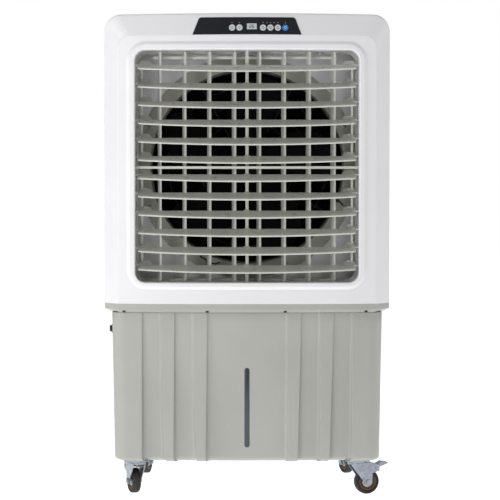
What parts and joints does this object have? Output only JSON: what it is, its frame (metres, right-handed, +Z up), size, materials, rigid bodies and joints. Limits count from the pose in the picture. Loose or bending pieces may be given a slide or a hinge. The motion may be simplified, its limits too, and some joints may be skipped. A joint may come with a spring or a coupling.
{
  "type": "evaporative cooler",
  "caption": "Free-standing evaporative air cooler: ribbed water tank on swivel casters, white housing with a louvred outlet, swinging vanes, axial fan, wetted pads and a key panel.",
  "frame": {"origin": "on the ground under the middle of the cooler", "axes": "+Z up, the air outlet faces -Y, +X to the viewer's right"},
  "size_m": [0.722, 0.48, 1.218],
  "materials": {
    "tank_plastic": "fine moulded texture",
    "white_plastic": "semi-gloss moulding",
    "blade_plastic": "semi-gloss moulding",
    "vane_plastic": "satin moulding",
    "panel_gloss": "high gloss film",
    "window_plastic": "smoked clear plastic",
    "ring_plastic": "satin moulding",
    "black_plastic": "satin moulding",
    "black_wire": "black coated wire",
    "motor_metal": "cast",
    "pad_paper": "corrugated impregnated paper",
    "zinc_steel": "zinc plated pressing",
    "wheel_rubber": "solid tyre on a moulded hub",
    "button_blue": "satin key cap",
    "button_grey": "satin key cap"
  },
  "bodies": {
    "cooler": {"water_tank": "tank_plastic", "base_deck": "tank_plastic", "housing_shell": "white_plastic", "front_bezel": "white_plastic", "louver_frame": "vane_plastic", "control_panel": "panel_gloss", "level_window": "window_plastic", "fan_ring": "ring_plastic", "fan_motor": "motor_metal", "fan_guard": "black_wire", "cooling_pads": "pad_paper", "intake_grilles": "white_plastic", "water_distributor": "white_plastic", "pump": "black_plastic", "riser_hose": "black_plastic", "tank_fittings": "black_plastic", "swing_motor": "motor_metal", "caster_plates": "zinc_steel"},
    "blade_01": {"blade_01": "blade_plastic"},
    "blade_02": {"blade_02": "blade_plastic"},
    "blade_03": {"blade_03": "blade_plastic"},
    "blade_04": {"blade_04": "blade_plastic"},
    "blade_05": {"blade_05": "blade_plastic"},
    "blade_06": {"blade_06": "blade_plastic"},
    "blade_07": {"blade_07": "blade_plastic"},
    "blade_08": {"blade_08": "blade_plastic"},
    "blade_09": {"blade_09": "blade_plastic"},
    "blade_10": {"blade_10": "blade_plastic"},
    "blade_11": {"blade_11": "blade_plastic"},
    "blade_12": {"blade_12": "blade_plastic"},
    "blade_link_upper": {"blade_link_upper": "vane_plastic"},
    "blade_link_lower": {"blade_link_lower": "vane_plastic"},
    "vane_1": {"vane_1": "vane_plastic"},
    "vane_2": {"vane_2": "vane_plastic"},
    "vane_3": {"vane_3": "vane_plastic"},
    "vane_4": {"vane_4": "vane_plastic"},
    "vane_5": {"vane_5": "vane_plastic"},
    "vane_6": {"vane_6": "vane_plastic"},
    "vane_7": {"vane_7": "vane_plastic"},
    "vane_8": {"vane_8": "vane_plastic"},
    "vane_link": {"vane_link": "blade_plastic"},
    "swing_crank": {"swing_crank": "motor_metal"},
    "fan_rotor": {"fan_rotor": "black_plastic"},
    "float_arm": {"float_arm": "zinc_steel"},
    "caster_fork_front_left": {"caster_fork_front_left": "zinc_steel"},
    "caster_fork_front_right": {"caster_fork_front_right": "zinc_steel"},
    "caster_fork_rear_left": {"caster_fork_rear_left": "zinc_steel"},
    "caster_fork_rear_right": {"caster_fork_rear_right": "zinc_steel"},
    "caster_wheel_front_left": {"caster_wheel_front_left": "wheel_rubber"},
    "caster_wheel_front_right": {"caster_wheel_front_right": "wheel_rubber"},
    "caster_wheel_rear_left": {"caster_wheel_rear_left": "wheel_rubber"},
    "caster_wheel_rear_right": {"caster_wheel_rear_right": "wheel_rubber"},
    "brake_pedal_left": {"brake_pedal_left": "zinc_steel"},
    "brake_pedal_right": {"brake_pedal_right": "zinc_steel"},
    "button_speed": {"button_speed": "button_grey"},
    "button_swing": {"button_swing": "button_grey"},
    "button_cool": {"button_cool": "button_grey"},
    "button_timer": {"button_timer": "button_grey"},
    "button_mode": {"button_mode": "button_grey"},
    "button_power": {"button_power": "button_blue"}
  },
  "joints": [
    {"name": "blade_01_tilt", "type": "hinge", "parent": "cooler", "child": "blade_01", "pos_m": [0, -0.19, 1.08945], "axis": [1, 0, 0], "range_deg": [-40, 20]},
    {"name": "blade_02_tilt", "type": "hinge", "parent": "cooler", "child": "blade_02", "pos_m": [0, -0.19, 1.04355], "axis": [1, 0, 0], "range_deg": [-40, 20]},
    {"name": "blade_03_tilt", "type": "hinge", "parent": "cooler", "child": "blade_03", "pos_m": [0, -0.19, 0.99765], "axis": [1, 0, 0], "range_deg": [-40, 20]},
    {"name": "blade_04_tilt", "type": "hinge", "parent": "cooler", "child": "blade_04", "pos_m": [0, -0.19, 0.95175], "axis": [1, 0, 0], "range_deg": [-40, 20]},
    {"name": "blade_05_tilt", "type": "hinge", "parent": "cooler", "child": "blade_05", "pos_m": [0, -0.19, 0.90585], "axis": [1, 0, 0], "range_deg": [-40, 20]},
    {"name": "blade_06_tilt", "type": "hinge", "parent": "cooler", "child": "blade_06", "pos_m": [0, -0.19, 0.85995], "axis": [1, 0, 0], "range_deg": [-40, 20]},
    {"name": "blade_07_tilt", "type": "hinge", "parent": "cooler", "child": "blade_07", "pos_m": [0, -0.19, 0.81405], "axis": [1, 0, 0], "range_deg": [-40, 20]},
    {"name": "blade_08_tilt", "type": "hinge", "parent": "cooler", "child": "blade_08", "pos_m": [0, -0.19, 0.76815], "axis": [1, 0, 0], "range_deg": [-40, 20]},
    {"name": "blade_09_tilt", "type": "hinge", "parent": "cooler", "child": "blade_09", "pos_m": [0, -0.19, 0.72225], "axis": [1, 0, 0], "range_deg": [-40, 20]},
    {"name": "blade_10_tilt", "type": "hinge", "parent": "cooler", "child": "blade_10", "pos_m": [0, -0.19, 0.67635], "axis": [1, 0, 0], "range_deg": [-40, 20]},
    {"name": "blade_11_tilt", "type": "hinge", "parent": "cooler", "child": "blade_11", "pos_m": [0, -0.19, 0.63045], "axis": [1, 0, 0], "range_deg": [-40, 20]},
    {"name": "blade_12_tilt", "type": "hinge", "parent": "cooler", "child": "blade_12", "pos_m": [0, -0.19, 0.58455], "axis": [1, 0, 0], "range_deg": [-40, 20]},
    {"name": "blade_link_upper_pivot", "type": "hinge", "parent": "blade_01", "child": "blade_link_upper", "pos_m": [0, -0.16666, 1.09841], "axis": [1, 0, 0], "range_deg": [-20, 40]},
    {"name": "blade_link_lower_pivot", "type": "hinge", "parent": "blade_07", "child": "blade_link_lower", "pos_m": [0, -0.16666, 0.82301], "axis": [1, 0, 0], "range_deg": [-20, 40]},
    {"name": "vane_1_swing", "type": "hinge", "parent": "cooler", "child": "vane_1", "pos_m": [-0.22015, -0.168, 0.835], "axis": [0, 0, 1], "range_deg": [-34, 18]},
    {"name": "vane_2_swing", "type": "hinge", "parent": "cooler", "child": "vane_2", "pos_m": [-0.15725, -0.168, 0.835], "axis": [0, 0, 1], "range_deg": [-34, 18]},
    {"name": "vane_3_swing", "type": "hinge", "parent": "cooler", "child": "vane_3", "pos_m": [-0.09435, -0.168, 0.835], "axis": [0, 0, 1], "range_deg": [-34, 18]},
    {"name": "vane_4_swing", "type": "hinge", "parent": "cooler", "child": "vane_4", "pos_m": [-0.03145, -0.168, 0.835], "axis": [0, 0, 1], "range_deg": [-34, 18]},
    {"name": "vane_5_swing", "type": "hinge", "parent": "cooler", "child": "vane_5", "pos_m": [0.03145, -0.168, 0.835], "axis": [0, 0, 1], "range_deg": [-34, 18]},
    {"name": "vane_6_swing", "type": "hinge", "parent": "cooler", "child": "vane_6", "pos_m": [0.09435, -0.168, 0.835], "axis": [0, 0, 1], "range_deg": [-34, 18]},
    {"name": "vane_7_swing", "type": "hinge", "parent": "cooler", "child": "vane_7", "pos_m": [0.15725, -0.168, 0.835], "axis": [0, 0, 1], "range_deg": [-34, 18]},
    {"name": "vane_8_swing", "type": "hinge", "parent": "cooler", "child": "vane_8", "pos_m": [0.22015, -0.168, 0.835], "axis": [0, 0, 1], "range_deg": [-34, 18]},
    {"name": "vane_link_pivot", "type": "hinge", "parent": "vane_1", "child": "vane_link", "pos_m": [-0.22399, -0.14229, 1.111], "axis": [0, 0, 1], "range_deg": [-18, 34]},
    {"name": "swing_crank_turn", "type": "hinge", "parent": "cooler", "child": "swing_crank", "pos_m": [0.1887, -0.168, 1.135], "axis": [0, 0, 1], "range_deg": [-34, 18]},
    {"name": "fan_spin", "type": "hinge", "parent": "cooler", "child": "fan_rotor", "pos_m": [0, -0.01, 0.835], "axis": [0, 1, 0], "continuous": true},
    {"name": "float_swing", "type": "hinge", "parent": "cooler", "child": "float_arm", "pos_m": [-0.292, -0.09, 0.418], "axis": [0, 1, 0], "range_deg": [-12, 40]},
    {"name": "caster_swivel_front_left", "type": "hinge", "parent": "cooler", "child": "caster_fork_front_left", "pos_m": [-0.281, -0.164, 0.08], "axis": [0, 0, 1], "continuous": true},
    {"name": "wheel_spin_front_left", "type": "hinge", "parent": "caster_fork_front_left", "child": "caster_wheel_front_left", "pos_m": [-0.28996, -0.14066, 0.032], "axis": [-0.9336, -0.3584, 0], "continuous": true},
    {"name": "brake_press_left", "type": "hinge", "parent": "caster_fork_front_left", "child": "brake_pedal_left", "pos_m": [-0.29784, -0.12012, 0.068], "axis": [-0.9336, -0.3584, 0], "range_deg": [0, 18]},
    {"name": "caster_swivel_front_right", "type": "hinge", "parent": "cooler", "child": "caster_fork_front_right", "pos_m": [0.281, -0.164, 0.08], "axis": [0, 0, 1], "continuous": true},
    {"name": "wheel_spin_front_right", "type": "hinge", "parent": "caster_fork_front_right", "child": "caster_wheel_front_right", "pos_m": [0.30491, -0.15669, 0.032], "axis": [-0.2924, 0.9563, 0], "continuous": true},
    {"name": "brake_press_right", "type": "hinge", "parent": "caster_fork_front_right", "child": "brake_pedal_right", "pos_m": [0.32595, -0.15026, 0.068], "axis": [-0.2924, 0.9563, 0], "range_deg": [0, 18]},
    {"name": "caster_swivel_rear_left", "type": "hinge", "parent": "cooler", "child": "caster_fork_rear_left", "pos_m": [-0.281, 0.164, 0.08], "axis": [0, 0, 1], "continuous": true},
    {"name": "wheel_spin_rear_left", "type": "hinge", "parent": "caster_fork_rear_left", "child": "caster_wheel_rear_left", "pos_m": [-0.2758, 0.18845, 0.032], "axis": [-0.9781, 0.2079, 0], "continuous": true},
    {"name": "caster_swivel_rear_right", "type": "hinge", "parent": "cooler", "child": "caster_fork_rear_right", "pos_m": [0.281, 0.164, 0.08], "axis": [0, 0, 1], "continuous": true},
    {"name": "wheel_spin_rear_right", "type": "hinge", "parent": "caster_fork_rear_right", "child": "caster_wheel_rear_right", "pos_m": [0.27164, 0.18718, 0.032], "axis": [-0.9272, -0.3746, 0], "continuous": true},
    {"name": "button_speed_press", "type": "slide", "parent": "cooler", "child": "button_speed", "axis": [0, 0.9781, -0.2079], "range_m": [0, 0.0012], "stiffness_N_per_m": 300},
    {"name": "button_swing_press", "type": "slide", "parent": "cooler", "child": "button_swing", "axis": [0, 0.9781, -0.2079], "range_m": [0, 0.0012], "stiffness_N_per_m": 300},
    {"name": "button_cool_press", "type": "slide", "parent": "cooler", "child": "button_cool", "axis": [0, 0.9781, -0.2079], "range_m": [0, 0.0012], "stiffness_N_per_m": 300},
    {"name": "button_timer_press", "type": "slide", "parent": "cooler", "child": "button_timer", "axis": [0, 0.9781, -0.2079], "range_m": [0, 0.0012], "stiffness_N_per_m": 300},
    {"name": "button_mode_press", "type": "slide", "parent": "cooler", "child": "button_mode", "axis": [0, 0.9781, -0.2079], "range_m": [0, 0.0012], "stiffness_N_per_m": 300},
    {"name": "button_power_press", "type": "slide", "parent": "cooler", "child": "button_power", "axis": [0, 0.9781, -0.2079], "range_m": [0, 0.0012], "stiffness_N_per_m": 300}
  ],
  "couplings": [
    {"joint": "blade_02_tilt", "follows": "blade_01_tilt", "ratio": 1},
    {"joint": "blade_03_tilt", "follows": "blade_01_tilt", "ratio": 1},
    {"joint": "blade_04_tilt", "follows": "blade_01_tilt", "ratio": 1},
    {"joint": "blade_05_tilt", "follows": "blade_01_tilt", "ratio": 1},
    {"joint": "blade_06_tilt", "follows": "blade_01_tilt", "ratio": 1},
    {"joint": "blade_08_tilt", "follows": "blade_07_tilt", "ratio": 1},
    {"joint": "blade_09_tilt", "follows": "blade_07_tilt", "ratio": 1},
    {"joint": "blade_10_tilt", "follows": "blade_07_tilt", "ratio": 1},
    {"joint": "blade_11_tilt", "follows": "blade_07_tilt", "ratio": 1},
    {"joint": "blade_12_tilt", "follows": "blade_07_tilt", "ratio": 1},
    {"joint": "blade_link_upper_pivot", "follows": "blade_01_tilt", "ratio": -1},
    {"joint": "blade_link_lower_pivot", "follows": "blade_07_tilt", "ratio": -1},
    {"joint": "vane_2_swing", "follows": "vane_1_swing", "ratio": 1},
    {"joint": "vane_3_swing", "follows": "vane_1_swing", "ratio": 1},
    {"joint": "vane_4_swing", "follows": "vane_1_swing", "ratio": 1},
    {"joint": "vane_5_swing", "follows": "vane_1_swing", "ratio": 1},
    {"joint": "vane_6_swing", "follows": "vane_1_swing", "ratio": 1},
    {"joint": "vane_7_swing", "follows": "vane_1_swing", "ratio": 1},
    {"joint": "vane_8_swing", "follows": "vane_1_swing", "ratio": 1},
    {"joint": "vane_link_pivot", "follows": "vane_1_swing", "ratio": -1},
    {"joint": "swing_crank_turn", "follows": "vane_1_swing", "ratio": 1}
  ]
}
